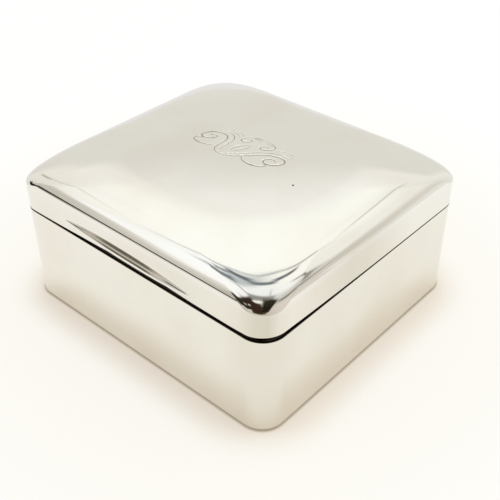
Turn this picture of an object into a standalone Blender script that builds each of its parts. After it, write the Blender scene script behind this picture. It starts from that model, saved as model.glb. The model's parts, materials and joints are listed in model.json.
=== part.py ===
"""A silver table box for cigarettes: sheet walls, cushion lid, cedar lining and a flush tube hinge.

The origin is the centre of the plan outline, on the surface that the box stands on.
+X is to the right seen from the front, the thumbpiece is at -Y, the hinge at +Y, and +Z is up.
The lid is drawn shut and level, and its pivot then holds it slightly open, as it rests.
"""
import math

import bpy
import bmesh
from mathutils import Matrix, Vector

MM = 0.001

# Modelling limits: points closer than this are one, and edges sharper than this stay sharp
WELD = 0.001 * MM
SHARP_ANGLE = math.radians(30)

# Case outline and sheet
WIDTH = 89.0 * MM
DEPTH = 81.8 * MM
CORNER_RADIUS = 6.5 * MM
MOUTH_HEIGHT = 28.9 * MM
SHEET = 0.8 * MM
FIT = 0.3 * MM
CORNER_STEPS = 8

# Foot of the case: the silver stands off the table on the hide pad
WALL_FOOT = 0.4 * MM
FLANGE_WIDTH = 3.2 * MM
BOARD_THICKNESS = 3.0 * MM
PIN_SHANK_RADIUS = 0.5 * MM
PIN_HEAD_RADIUS = 1.0 * MM
PIN_HEAD_SUNK = 0.1 * MM
PIN_GRIP = 1.8 * MM
PIN_SPREAD = 0.56
PIN_STEPS = 12

# Cedar lining of the base
FLOOR_THICKNESS = 2.0 * MM
LINING_THICKNESS = 3.0 * MM

# Wire soldered inside each mouth
WIRE_WIDTH = 1.0 * MM
WIRE_HEIGHT = 1.4 * MM

# Cushion lid
LID_WALL = 6.4 * MM
ROLL_RUN = 14.3 * MM
ROLL_RISE = 7.0 * MM
ROLL_FULLNESS = 1.93
CROWN_RISE = 2.4 * MM
CORNER_SPREAD = 5.0
ROLL_RINGS = 10
CROWN_RINGS = 6
CROWN_REACH = 0.96

# Cedar lining of the lid
LID_LINING_DROP = 6.1 * MM
PANEL_THICKNESS = 1.8 * MM
STRIP_THICKNESS = 2.0 * MM

# Gaps between lid and base: at the hinge, and at the front where the lid rests on the cedar
HINGE_GAP = 0.3 * MM
FRONT_GAP = 0.9 * MM

# Hinge
KNUCKLE_COUNT = 5
KNUCKLE_RADIUS = 1.3 * MM
HINGE_PIN_RADIUS = 0.5 * MM
HINGE_PROUD = 0.3 * MM
END_CAP_THICKNESS = 1.0 * MM
BEARER_THICKNESS = 1.65 * MM
BEARER_NEAR = 0.8 * MM
BEARER_FAR = 2.7 * MM
ROUND_STEPS = 24

# How far the lid leans back, and what is left between its bevelled back edge and the base's there
LEAN_ANGLE = math.radians(100)
LEAN_CLEARANCE = math.radians(2)

# Thumbpiece: a lens-shaped flare with its lip above the lid's edge, heights from that edge
THUMB_LENGTH = 45.0 * MM
THUMB_OFFSET = -1.5 * MM
THUMB_FOOT = 1.0 * MM
THUMB_LIP = 1.3 * MM
THUMB_CREASE = 2.2 * MM
THUMB_TOP = 3.8 * MM
THUMB_PROUD = 0.6 * MM
THUMB_EDGE = 0.12 * MM
THUMB_STATIONS = 24
THUMB_CURVE_STEPS = 6
THUMB_END_FULLNESS = 0.05

# Levels and places that follow from the sizes above
FLANGE_TOP = WALL_FOOT + SHEET
BOARD_BOTTOM = FLANGE_TOP + FIT
BOARD_TOP = BOARD_BOTTOM + BOARD_THICKNESS
FLOOR_BOTTOM = BOARD_TOP + FIT
FLOOR_TOP = FLOOR_BOTTOM + FLOOR_THICKNESS
LINING_BOTTOM = FLOOR_TOP + FIT
LINING_INSET = SHEET + FIT
REBATE_INSET = LINING_INSET + WIRE_WIDTH + FIT
LINING_INNER_INSET = LINING_INSET + LINING_THICKNESS
SIDE_PROUD = HINGE_GAP + WIRE_HEIGHT
FRONT_PROUD = FRONT_GAP + WIRE_HEIGHT

HINGE_LENGTH = WIDTH - 2 * CORNER_RADIUS
HINGE_Y = DEPTH / 2 + HINGE_PROUD - KNUCKLE_RADIUS
HINGE_Z = MOUTH_HEIGHT + HINGE_GAP / 2
CHANNEL_RADIUS = KNUCKLE_RADIUS + FIT
BEARER_OUTER_Y = DEPTH / 2 - LINING_INSET
BEARER_INNER_Y = BEARER_OUTER_Y - BEARER_THICKNESS
BACK_REBATE_INSET = DEPTH / 2 - BEARER_INNER_Y + FIT

LID_EDGE = MOUTH_HEIGHT + HINGE_GAP
ROLL_START = LID_EDGE + LID_WALL
PANEL_BOTTOM = LID_EDGE + LID_LINING_DROP
PANEL_TOP = PANEL_BOTTOM + PANEL_THICKNESS
STRIP_BOTTOM = LID_EDGE + WIRE_HEIGHT + FIT
STRIP_TOP = PANEL_BOTTOM - FIT
REST_TILT = math.asin((FRONT_GAP - HINGE_GAP) / (HINGE_Y + DEPTH / 2))
BEVEL_ANGLE = (LEAN_ANGLE + REST_TILT + LEAN_CLEARANCE) / 2


def clear_scene():
    """Start from nothing."""
    for old in list(bpy.data.objects):
        bpy.data.objects.remove(old, do_unlink=True)


def finish_material(name, colour, roughness, metallic):
    """One Principled finish."""
    material = bpy.data.materials.new(name)
    material.use_nodes = True
    shader = material.node_tree.nodes["Principled BSDF"]
    shader.inputs["Base Color"].default_value = (*colour, 1.0)
    shader.inputs["Roughness"].default_value = roughness
    shader.inputs["Metallic"].default_value = metallic
    material.diffuse_color = (*colour, 1.0)
    return material


FINISHES = {
    "silver": ((0.88, 0.87, 0.84), 0.12, 1.0),
    "cedar": ((0.44, 0.21, 0.10), 0.60, 0.0),
    "mahogany": ((0.23, 0.09, 0.05), 0.55, 0.0),
    "hide": ((0.10, 0.05, 0.035), 0.70, 0.0),
    "brass": ((0.70, 0.50, 0.22), 0.30, 1.0),
}


def make_object(name, mesh_data, finish, pivot=None):
    """Turn a bmesh into a named object with its own material, carried by the pivot if there is one."""
    bmesh.ops.remove_doubles(mesh_data, verts=mesh_data.verts, dist=WELD)
    bmesh.ops.recalc_face_normals(mesh_data, faces=mesh_data.faces)
    mesh = bpy.data.meshes.new(name)
    mesh_data.to_mesh(mesh)
    mesh_data.free()
    mesh.shade_smooth()
    mesh.set_sharp_from_angle(angle=SHARP_ANGLE)
    made = bpy.data.objects.new(name, mesh)
    made.data.materials.append(finish_material(f"{name}_{finish}", *FINISHES[finish]))
    bpy.context.scene.collection.objects.link(made)
    if pivot is not None:
        made.parent = pivot
        made.matrix_parent_inverse = Matrix.Translation(-pivot.location)
    return made


def add_cut(target, name, mesh_data):
    """Cut a hidden shape out of an object."""
    bmesh.ops.recalc_face_normals(mesh_data, faces=mesh_data.faces)
    mesh = bpy.data.meshes.new(name)
    mesh_data.to_mesh(mesh)
    mesh_data.free()
    cutter = bpy.data.objects.new(name, mesh)
    bpy.context.scene.collection.objects.link(cutter)
    cutter.hide_render = True
    cutter.display_type = "WIRE"
    if target.parent is not None:
        cutter.parent = target.parent
        cutter.matrix_parent_inverse = target.matrix_parent_inverse.copy()
    modifier = target.modifiers.new(name, "BOOLEAN")
    modifier.operation = "DIFFERENCE"
    modifier.solver = "EXACT"
    modifier.object = cutter


def arc(centre, radius, start, end, steps):
    """Points along an arc, angles in degrees."""
    points = []
    for step in range(steps + 1):
        angle = math.radians(start + (end - start) * step / steps)
        points.append((centre[0] + radius * math.cos(angle), centre[1] + radius * math.sin(angle)))
    return points


def rounded_rectangle(half_x, half_y, radius):
    """Plan outline, anticlockwise from the right end of the front side."""
    points = []
    for sign_x, sign_y, start in ((1, -1, -90), (1, 1, 0), (-1, 1, 90), (-1, -1, 180)):
        centre = (sign_x * (half_x - radius), sign_y * (half_y - radius))
        points += arc(centre, radius, start, start + 90, CORNER_STEPS)
    return points


def case_outline(inset):
    """The case's outline, moved inwards by an inset."""
    return rounded_rectangle(WIDTH / 2 - inset, DEPTH / 2 - inset, CORNER_RADIUS - inset)


def at_height(plan, z):
    """Lift plan points to a height."""
    return [Vector((x, y, z)) for x, y in plan]


def skin(rings, closed=False):
    """A solid through a row of rings: a closed tube of rings, or one capped at both ends."""
    mesh_data = bmesh.new()
    rows = [[mesh_data.verts.new(point) for point in ring] for ring in rings]
    pairs = list(zip(rows, rows[1:]))
    if closed:
        pairs.append((rows[-1], rows[0]))
    else:
        mesh_data.faces.new(rows[0])
        mesh_data.faces.new(rows[-1])
    count = len(rows[0])
    for lower, upper in pairs:
        for index in range(count):
            following = (index + 1) % count
            mesh_data.faces.new((lower[index], lower[following], upper[following], upper[index]))
    return mesh_data


def prism(plan, bottom, top):
    """A plan outline raised between two heights."""
    return skin([at_height(plan, bottom), at_height(plan, top)])


def along_x(profile, start, end):
    """A (y, z) outline drawn out along X."""
    return skin([[Vector((x, y, z)) for y, z in profile] for x in (start, end)])


def hinge_circle(radius):
    """A circle about the hinge axis, as (y, z) points."""
    return arc((HINGE_Y, HINGE_Z), radius, 0, 360 - 360 / ROUND_STEPS, ROUND_STEPS - 1)


def hinge_channel():
    """The cylinder that both back walls and both bearers leave free for the hinge tube."""
    reach = HINGE_LENGTH / 2 + END_CAP_THICKNESS + 2 * FIT
    return along_x(hinge_circle(CHANNEL_RADIUS), -reach, reach)


def back_bevel():
    """The wedge that bevels both back edges, so that they meet only when the lid leans back."""
    reach = WIDTH / 2
    outer = 2 * KNUCKLE_RADIUS
    rise = outer * math.tan(BEVEL_ANGLE)
    wedge = [(HINGE_Y, HINGE_Z), (HINGE_Y + outer, HINGE_Z - rise), (HINGE_Y + outer, HINGE_Z + rise)]
    return along_x(wedge, -reach, reach)


def turned(profile, centre):
    """Solid of revolution about a vertical axis, from (radius, z) points."""
    rings = []
    for radius, z in profile:
        circle = arc(centre, radius, 0, 360 - 360 / PIN_STEPS, PIN_STEPS - 1)
        rings.append(at_height(circle, z))
    return skin(rings)


def pin_places():
    """Two pins along each side of the flange."""
    line_x = WIDTH / 2 - SHEET - FLANGE_WIDTH / 2
    line_y = DEPTH / 2 - SHEET - FLANGE_WIDTH / 2
    places = []
    for side in (-1, 1):
        for end in (-1, 1):
            places.append((side * line_x, end * line_y * PIN_SPREAD))
            places.append((end * line_x * PIN_SPREAD, side * line_y))
    return places


def pin_profile(margin):
    """Countersunk pin as (radius, z), or its hole when the margin is the clearance."""
    head = WALL_FOOT + PIN_HEAD_SUNK
    tip = BOARD_BOTTOM + PIN_GRIP
    return [
        (PIN_HEAD_RADIUS + margin, head if margin == 0 else WALL_FOOT - FIT),
        (PIN_HEAD_RADIUS + margin, head + PIN_HEAD_SUNK),
        (PIN_SHANK_RADIUS + margin, head + PIN_HEAD_SUNK + PIN_HEAD_RADIUS - PIN_SHANK_RADIUS),
        (PIN_SHANK_RADIUS + margin, tip + margin),
    ]


def pin_holes():
    """The holes for all the pins, as separate turned solids in one mesh."""
    together = bmesh.new()
    for place in pin_places():
        mesh = bpy.data.meshes.new("pin_hole")
        hole = turned(pin_profile(FIT), place)
        hole.to_mesh(mesh)
        hole.free()
        together.from_mesh(mesh)
        bpy.data.meshes.remove(mesh)
    return together


def board_plan(half_along, half_across, radius, thickness):
    """Plan of a mitred board on the -Y side, its outer corners rounded to sit in the case."""
    mitre_angle = 45 - math.degrees(math.asin(FIT / 2 / radius))
    centre_x = half_along - radius
    centre_y = -(half_across - radius)
    inner_x = half_along - thickness - FIT / math.sqrt(2)
    inner_y = -(half_across - thickness)
    left = arc((-centre_x, centre_y), radius, -90 - mitre_angle, -90, CORNER_STEPS)
    right = arc((centre_x, centre_y), radius, -90, -90 + mitre_angle, CORNER_STEPS)
    return [(-inner_x, inner_y)] + left + right + [(inner_x, inner_y)]


def turn_plan(plan, quarter_turns):
    """Turn a plan about the origin by quarter turns."""
    for _ in range(quarter_turns):
        plan = [(-y, x) for x, y in plan]
    return plan


# The sides of the box, each a quarter turn on from the one before
SIDES = ("front", "right", "back", "left")


def side_plan(quarter_turns, inset, inner_inset):
    """Plan of the lining board on one side, between two insets from the case's outer face."""
    half_along, half_across = WIDTH / 2, DEPTH / 2
    if quarter_turns % 2:
        half_along, half_across = half_across, half_along
    plan = board_plan(half_along - inset, half_across - inset, CORNER_RADIUS - inset, inner_inset - inset)
    return turn_plan(plan, quarter_turns)


def roll_height(share, rise):
    """Height of the lid's rolled edge at a share of its run."""
    share = min(share, 1.0)
    return rise * (1 - (1 - share) ** ROLL_FULLNESS) ** (1 / ROLL_FULLNESS)


def lid_point_height(inset, shell):
    """Height of the lid's surface at an inset from its wall; shell is 0 outside, SHEET inside."""
    half = DEPTH / 2 - shell
    crown = CROWN_RISE * (1 - (1 - inset / half) ** 2)
    return ROLL_START + roll_height(inset / (ROLL_RUN - shell), ROLL_RISE - shell) + crown


def lid_outline(inset, shell):
    """Outline of the lid at an inset: its corners grow rounder until the outline is a circle."""
    half_y = DEPTH / 2 - shell
    half_x = WIDTH / 2 - shell
    share = inset / half_y
    across = half_y * (1 - share)
    along = half_x - inset - (half_x - half_y) * share ** 2
    roundness = 1 - (1 - (CORNER_RADIUS - shell) / half_y) * (1 - share) ** CORNER_SPREAD
    return rounded_rectangle(along, across, across * roundness)


def lid_insets(shell):
    """Insets of the lid's rings, close together where the roll is steep."""
    run = ROLL_RUN - shell
    insets = []
    for step in range(ROLL_RINGS + 1):
        insets.append(run * (1 - math.cos(math.pi / 2 * step / ROLL_RINGS)))
    last = (DEPTH / 2 - shell) * CROWN_REACH
    for step in range(1, CROWN_RINGS + 1):
        insets.append(run + (last - run) * step / CROWN_RINGS)
    return insets


def lid_surface(shell):
    """Rings of one face of the lid, from its edge to its crown."""
    rings = [at_height(lid_outline(0, shell), LID_EDGE)]
    for inset in lid_insets(shell):
        rings.append(at_height(lid_outline(inset, shell), lid_point_height(inset, shell)))
    return rings


def inset_at_height(height):
    """Inset from the lid's inner wall at which its inner face reaches a height."""
    low, high = 0.0, ROLL_RUN - SHEET
    while high - low > WELD:
        middle = (low + high) / 2
        if lid_point_height(middle, SHEET) < height:
            low = middle
        else:
            high = middle
    return high


def build_case():
    """Silver wall of the base with its turned-in flange, and the wire inside its mouth."""
    profile = [
        (0.0, WALL_FOOT),
        (0.0, MOUTH_HEIGHT),
        (SHEET, MOUTH_HEIGHT),
        (SHEET, FLANGE_TOP),
        (SHEET + FLANGE_WIDTH, FLANGE_TOP),
        (SHEET + FLANGE_WIDTH, WALL_FOOT),
    ]
    rings = [at_height(case_outline(inset), z) for inset, z in profile]
    band = make_object("base_band", skin(rings, closed=True), "silver")
    add_cut(band, "band_channel", hinge_channel())
    add_cut(band, "band_bevel", back_bevel())
    add_cut(band, "band_pin_holes", pin_holes())
    wire_plan = mouth_wire_plan()
    wire = prism(wire_plan, MOUTH_HEIGHT - WIRE_HEIGHT, MOUTH_HEIGHT)
    make_object("base_mouth_wire", wire, "silver")


def mouth_wire_plan():
    """Plan of the wire that follows the inside of a mouth round the front and both sides."""
    sides = []
    for inset in (LINING_INSET, LINING_INSET + WIRE_WIDTH):
        half_x = WIDTH / 2 - inset
        half_y = DEPTH / 2 - inset
        radius = CORNER_RADIUS - inset
        end = DEPTH / 2 - CORNER_RADIUS
        left = arc((-(half_x - radius), -(half_y - radius)), radius, 180, 270, CORNER_STEPS)
        right = arc((half_x - radius, -(half_y - radius)), radius, -90, 0, CORNER_STEPS)
        sides.append([(-half_x, end)] + left + right + [(half_x, end)])
    return sides[0] + sides[1][::-1]


def build_foot():
    """Wooden bottom board pinned to the flange, with the hide pad inside the flange."""
    blank = prism(case_outline(LINING_INSET), BOARD_BOTTOM, BOARD_TOP)
    board = make_object("base_board", blank, "mahogany")
    add_cut(board, "board_pin_holes", pin_holes())
    for number, place in enumerate(pin_places(), start=1):
        make_object(f"flange_pin_{number}", turned(pin_profile(0.0), place), "brass")
    pad = prism(case_outline(SHEET + FLANGE_WIDTH + FIT), 0.0, FLANGE_TOP)
    make_object("underside_pad", pad, "hide")


def build_base_lining():
    """Cedar floor, and four mitred cedar boards that stand proud of the mouth."""
    floor = prism(case_outline(LINING_INSET), FLOOR_BOTTOM, FLOOR_TOP)
    make_object("lining_floor", floor, "cedar")
    for quarter_turns, side in enumerate(SIDES):
        rebate_inset, rebate_bottom, proud = REBATE_INSET, MOUTH_HEIGHT - WIRE_HEIGHT - FIT, SIDE_PROUD
        if side == "front":
            proud = FRONT_PROUD
        if side == "back":
            rebate_inset, rebate_bottom = BACK_REBATE_INSET, HINGE_Z - BEARER_FAR - FIT
        full = side_plan(quarter_turns, LINING_INSET, LINING_INNER_INSET)
        slim = side_plan(quarter_turns, rebate_inset, LINING_INNER_INSET)
        rings = [
            at_height(full, LINING_BOTTOM),
            at_height(full, rebate_bottom),
            at_height(slim, rebate_bottom),
            at_height(slim, MOUTH_HEIGHT + proud),
        ]
        make_object(f"lining_{side}", skin(rings), "cedar")


def build_lid_shell(pivot):
    """Raised silver lid of one sheet, with the wire inside its mouth."""
    rings = lid_surface(SHEET)[::-1] + lid_surface(0.0)
    cover = make_object("lid_cover", skin(rings), "silver", pivot)
    add_cut(cover, "lid_channel", hinge_channel())
    add_cut(cover, "lid_bevel", back_bevel())
    wire = prism(mouth_wire_plan(), LID_EDGE, LID_EDGE + WIRE_HEIGHT)
    make_object("lid_mouth_wire", wire, "silver", pivot)


def build_lid_lining(pivot):
    """Cedar panel under the crown, and the four strips that frame it."""
    inset = inset_at_height(PANEL_TOP + FIT) + FIT
    panel = prism(lid_outline(inset, SHEET), PANEL_BOTTOM, PANEL_TOP)
    make_object("lid_lining_panel", panel, "cedar", pivot)
    for quarter_turns, side in enumerate(SIDES):
        bottom = HINGE_Z + BEARER_FAR + FIT if side == "back" else STRIP_BOTTOM
        plan = side_plan(quarter_turns, LINING_INSET, LINING_INSET + STRIP_THICKNESS)
        make_object(f"lid_lining_{side}", prism(plan, bottom, STRIP_TOP), "cedar", pivot)


def build_bearer(name, direction, pivot=None):
    """Hollowed strip that cradles the knuckles: direction is -1 below the axis and 1 above it."""
    near = HINGE_Z + direction * BEARER_NEAR
    far = HINGE_Z + direction * BEARER_FAR
    profile = [(BEARER_INNER_Y, near), (BEARER_OUTER_Y, near), (BEARER_OUTER_Y, far), (BEARER_INNER_Y, far)]
    strip = along_x(profile, -HINGE_LENGTH / 2, HINGE_LENGTH / 2)
    bearer = make_object(name, strip, "silver", pivot)
    add_cut(bearer, f"{name}_channel", hinge_channel())


def build_hinge(pivot):
    """Knuckles in turn on base and lid, with the pin through them and a cap at each end."""
    build_bearer("base_hinge_bearer", -1)
    build_bearer("lid_hinge_bearer", 1, pivot)
    pitch = (HINGE_LENGTH + FIT) / KNUCKLE_COUNT
    outer = hinge_circle(KNUCKLE_RADIUS)
    bore = hinge_circle(HINGE_PIN_RADIUS + FIT)
    for number in range(KNUCKLE_COUNT):
        start = -HINGE_LENGTH / 2 + number * pitch
        end = start + pitch - FIT
        rings = [(outer, start), (outer, end), (bore, end), (bore, start)]
        tube = skin([[Vector((x, y, z)) for y, z in circle] for circle, x in rings], closed=True)
        on_lid = number % 2 == 1
        owner = "lid" if on_lid else "base"
        make_object(f"{owner}_knuckle_{number + 1}", tube, "silver", pivot if on_lid else None)
    pin = along_x(hinge_circle(HINGE_PIN_RADIUS), -HINGE_LENGTH / 2, HINGE_LENGTH / 2)
    make_object("hinge_pin", pin, "silver")
    for side, name in ((-1, "left"), (1, "right")):
        near = side * (HINGE_LENGTH / 2 + FIT)
        far = near + side * END_CAP_THICKNESS
        cap = along_x(hinge_circle(KNUCKLE_RADIUS), min(near, far), max(near, far))
        make_object(f"hinge_cap_{name}", cap, "silver")


def thumb_section(x, fullness):
    """Section of the thumbpiece at one place along it: flat back, upright lip, concave face above."""
    back = -(DEPTH / 2 + FIT)
    middle = (THUMB_FOOT + THUMB_TOP) / 2
    foot, lip, crease, top = [
        LID_EDGE + middle + (height - middle) * fullness
        for height in (THUMB_FOOT, THUMB_LIP, THUMB_CREASE, THUMB_TOP)
    ]
    proud = THUMB_PROUD * fullness
    points = [(back, foot), (back - THUMB_EDGE, foot), (back - THUMB_EDGE - proud, lip)]
    for step in range(THUMB_CURVE_STEPS + 1):
        share = step / THUMB_CURVE_STEPS
        depth = THUMB_EDGE + proud * (1 - share) ** 2
        points.append((back - depth, crease + (top - crease) * share))
    points.append((back, top))
    return [Vector((x, y, z)) for y, z in points]


def build_thumbpiece(pivot):
    """The flare under which a thumb lifts the lid."""
    rings = []
    for station in range(THUMB_STATIONS + 1):
        turn = math.pi * station / THUMB_STATIONS
        fullness = max(math.sin(turn), THUMB_END_FULLNESS)
        rings.append(thumb_section(THUMB_OFFSET - math.cos(turn) * THUMB_LENGTH / 2, fullness))
    make_object("thumbpiece", skin(rings), "silver", pivot)


def build():
    """The whole box, with the lid's pieces on a pivot that lies on the hinge axis."""
    clear_scene()
    pivot = bpy.data.objects.new("lid_pivot", None)
    pivot.location = (0.0, HINGE_Y, HINGE_Z)
    pivot.rotation_euler = (-REST_TILT, 0.0, 0.0)
    bpy.context.scene.collection.objects.link(pivot)
    build_case()
    build_foot()
    build_base_lining()
    build_lid_shell(pivot)
    build_lid_lining(pivot)
    build_hinge(pivot)
    build_thumbpiece(pivot)


build()
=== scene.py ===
# %% [markdown]
# A silver table box for cigarettes, with a cushion lid.
# The real box is polished sheet silver outside and thin cedar boards inside.
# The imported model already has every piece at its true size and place.
# This script keeps that model as a frame and gives each piece its finished surface.
# Blender works in metres, so the sizes below are written in millimetres and multiplied by MM.

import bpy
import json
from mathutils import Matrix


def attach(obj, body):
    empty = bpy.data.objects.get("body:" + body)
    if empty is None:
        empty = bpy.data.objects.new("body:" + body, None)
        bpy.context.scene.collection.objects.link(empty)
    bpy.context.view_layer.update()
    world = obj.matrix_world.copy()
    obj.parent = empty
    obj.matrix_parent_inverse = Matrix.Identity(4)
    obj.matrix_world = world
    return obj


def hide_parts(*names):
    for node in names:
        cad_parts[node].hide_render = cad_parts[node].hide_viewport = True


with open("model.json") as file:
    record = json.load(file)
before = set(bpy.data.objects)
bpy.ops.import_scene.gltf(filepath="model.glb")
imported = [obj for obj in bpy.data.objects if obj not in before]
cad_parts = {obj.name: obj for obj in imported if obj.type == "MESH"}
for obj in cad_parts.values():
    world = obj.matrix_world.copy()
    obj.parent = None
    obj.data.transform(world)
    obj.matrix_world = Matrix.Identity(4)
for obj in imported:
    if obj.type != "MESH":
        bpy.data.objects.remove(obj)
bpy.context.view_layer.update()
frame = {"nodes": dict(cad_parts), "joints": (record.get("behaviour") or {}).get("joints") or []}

# %% Modules and the drawing's sizes
import json
import math

import bmesh
import bpy
import numpy as np
from mathutils import Matrix, Vector
from mathutils.bvhtree import BVHTree

MM = 0.001
HINGE_AXIS = Vector(frame["joints"][0]["pos_m"])
WIDTH = 89.0 * MM
DEPTH = 81.8 * MM
CORNER_RADIUS = 6.5 * MM
MOUTH_HEIGHT = 28.9 * MM
SHEET = 0.8 * MM
LID_EDGE = 29.2 * MM
HINGE_GAP = 0.3 * MM
FRONT_GAP = 0.9 * MM
REST_TILT = math.asin((FRONT_GAP - HINGE_GAP) / (HINGE_AXIS.y + DEPTH / 2))
print("the lid rests", round(math.degrees(REST_TILT), 3), "degrees open")

# %% [markdown]
# Materials and Geometry Nodes are both trees of small nodes.
# One helper adds a node, sets what it is told and links what it is given, so a tree reads as a list of steps.
# Colours are written as the hex values that a paint program shows, and turned to the linear values
# that the renderer counts in.

# %% Three small tools: a colour, a node and an object
def tone(hex_colour):
    """Linear RGBA from an sRGB hex colour."""
    shares = [int(hex_colour[start:start + 2], 16) / 255 for start in (1, 3, 5)]
    linear = [share / 12.92 if share <= 0.04045 else ((share + 0.055) / 1.055) ** 2.4 for share in shares]
    return (*linear, 1.0)


def connect(tree, node, sockets):
    """Each socket gets a link if its value is another node's output, else the value itself."""
    for key, value in sockets.items():
        if isinstance(value, bpy.types.NodeSocket):
            tree.links.new(value, node.inputs[key])
        else:
            node.inputs[key].default_value = value


def add(tree, kind, sockets=None, out=0, **settings):
    """Adds a node and returns one output, or all for None; a kind without Node in it is a shader's."""
    node = tree.nodes.new(kind if "Node" in kind else f"ShaderNode{kind}")
    for name, value in settings.items():
        setattr(node, name, value)
    connect(tree, node, sockets or {})
    return node.outputs if out is None else node.outputs[out]


# What a mix of two colours and a soft step from 0 to 1 are told
MIXED = {"out": 2, "data_type": "RGBA"}
SOFT = {"interpolation_type": "SMOOTHSTEP"}


def new_object(name, data):
    """An object in the scene that shows the data."""
    thing = bpy.data.objects.new(name, data)
    bpy.context.scene.collection.objects.link(thing)
    return thing


SILVER_TONE = "#F0EEE7"
print("silver as linear colour", [round(share, 3) for share in tone(SILVER_TONE)])

# %% [markdown]
# The photograph was taken from the front right and above.
# A camera in Blender looks along its own -Z, so its turn is built from three axes:
# right, up and back. The lens is worked out for a frame of 500 by 500 pixels.

# %% Camera at the photograph's viewing angle
CAMERA_PLACE = Vector((129.452, -141.495, 154.912)) * MM
CAMERA_TARGET = Vector((9.404, -6.544, 20.0)) * MM
CAMERA_ROLL = math.radians(-0.173)
SENSOR = 36.0
FOCAL_PIXELS = 830.343
FRAME_PIXELS = 500

backward = (CAMERA_PLACE - CAMERA_TARGET).normalized()
level_right = Vector((0, 0, 1)).cross(backward).normalized()
level_up = backward.cross(level_right)
rightward = math.cos(CAMERA_ROLL) * level_right + math.sin(CAMERA_ROLL) * level_up
upward = math.cos(CAMERA_ROLL) * level_up - math.sin(CAMERA_ROLL) * level_right
turned_axes = Matrix((rightward, upward, backward)).transposed().to_4x4()

camera = new_object("camera", bpy.data.cameras.new("camera"))
bpy.context.scene.camera = camera
camera.matrix_world = Matrix.Translation(CAMERA_PLACE) @ turned_axes
camera.data.sensor_width = SENSOR
camera.data.lens = FOCAL_PIXELS / FRAME_PIXELS * SENSOR
camera.data.clip_start = 10 * MM
bpy.context.scene.view_settings.view_transform = "Standard"
print("lens", round(camera.data.lens, 2), "mm")

# %% [markdown]
# Polished silver has hardly any look of its own: it shows what stands around it.
# So the surroundings are drawn in the world by direction, as a photographer's white tent:
# a grey back wall low down, a bright roof, a thin dark frame, and a plain dark card at the camera's side.
# Only mirrored rays see them. The camera sees white, and everything else gets an even soft light.
# A direction is read in two ways. "room" is (sideways, over), in degrees from the far horizon
# over the top to the near horizon. "horizon" is (compass, height), and its compass says 0 at the back
# and 90 at the right.

# %% World: where a direction points
SKY_LEVEL = 1.0
# Level directions away from the camera's side of the box, and to the right of that
AWAY = (-0.6647, 0.7471, 0.0)
ASIDE = (0.7471, 0.6647, 0.0)
HALF_TURN = 180.0
world = bpy.data.worlds.new("studio_tent")
bpy.context.scene.world = world
world.use_nodes = True
sky = world.node_tree
sky.nodes.clear()

direction = add(sky, "TexCoord", out="Generated")
away_share = add(sky, "VectorMath", {0: direction, 1: AWAY}, "Value", operation="DOT_PRODUCT")
aside_share = add(sky, "VectorMath", {0: direction, 1: ASIDE}, "Value", operation="DOT_PRODUCT")
east, north, rise = add(sky, "SeparateXYZ", {0: direction}, None)
over = add(sky, "Math", {0: rise, 1: away_share}, operation="ARCTAN2")
sideways = add(sky, "Math", {0: aside_share}, operation="ARCSINE")
compass = add(sky, "Math", {0: east, 1: north}, operation="ARCTAN2")
height = add(sky, "Math", {0: rise}, operation="ARCSINE")
views = {}
for view_name, first, second in (("room", sideways, over), ("horizon", compass, height)):
    pair = add(sky, "CombineXYZ", {0: first, 1: second})
    views[view_name] = add(sky, "VectorMath", {0: pair, "Scale": 180 / math.pi}, operation="SCALE")
over_degrees = add(sky, "SeparateXYZ", {0: views["room"]}, 1)
print("direction nodes", len(sky.nodes))

# %% World: the tent's tones from the far horizon over the top to the near one
TENT_TONES = [
    (0, "#DBD8CE"), (12, "#DCD8CE"), (28, "#DDDAD0"), (38, "#EFEDE4"), (50, "#FBFAEF"), (62, "#FEFDF3"),
    (74, "#FDFCF2"), (78, "#F8F8F2"), (90, "#FBFAF4"), (98, "#F5F3EB"), (104, "#E8E2D8"), (150, "#D7D0C2"),
    (180, "#D9D2C6"),
]
share_over = add(sky, "Math", {0: over_degrees, 1: HALF_TURN}, operation="DIVIDE")
seen = add(sky, "ValToRGB", {0: share_over})
stops = seen.node.color_ramp.elements
while len(stops) > 1:
    stops.remove(stops[-1])
# The ramp keeps one stop of its own, and it becomes the first tone
for degrees, hex_colour in TENT_TONES:
    stop = stops[0] if degrees == 0 else stops.new(degrees / HALF_TURN)
    stop.position = degrees / HALF_TURN
    stop.color = tone(hex_colour)
print("tent tones", len(stops))

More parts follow.
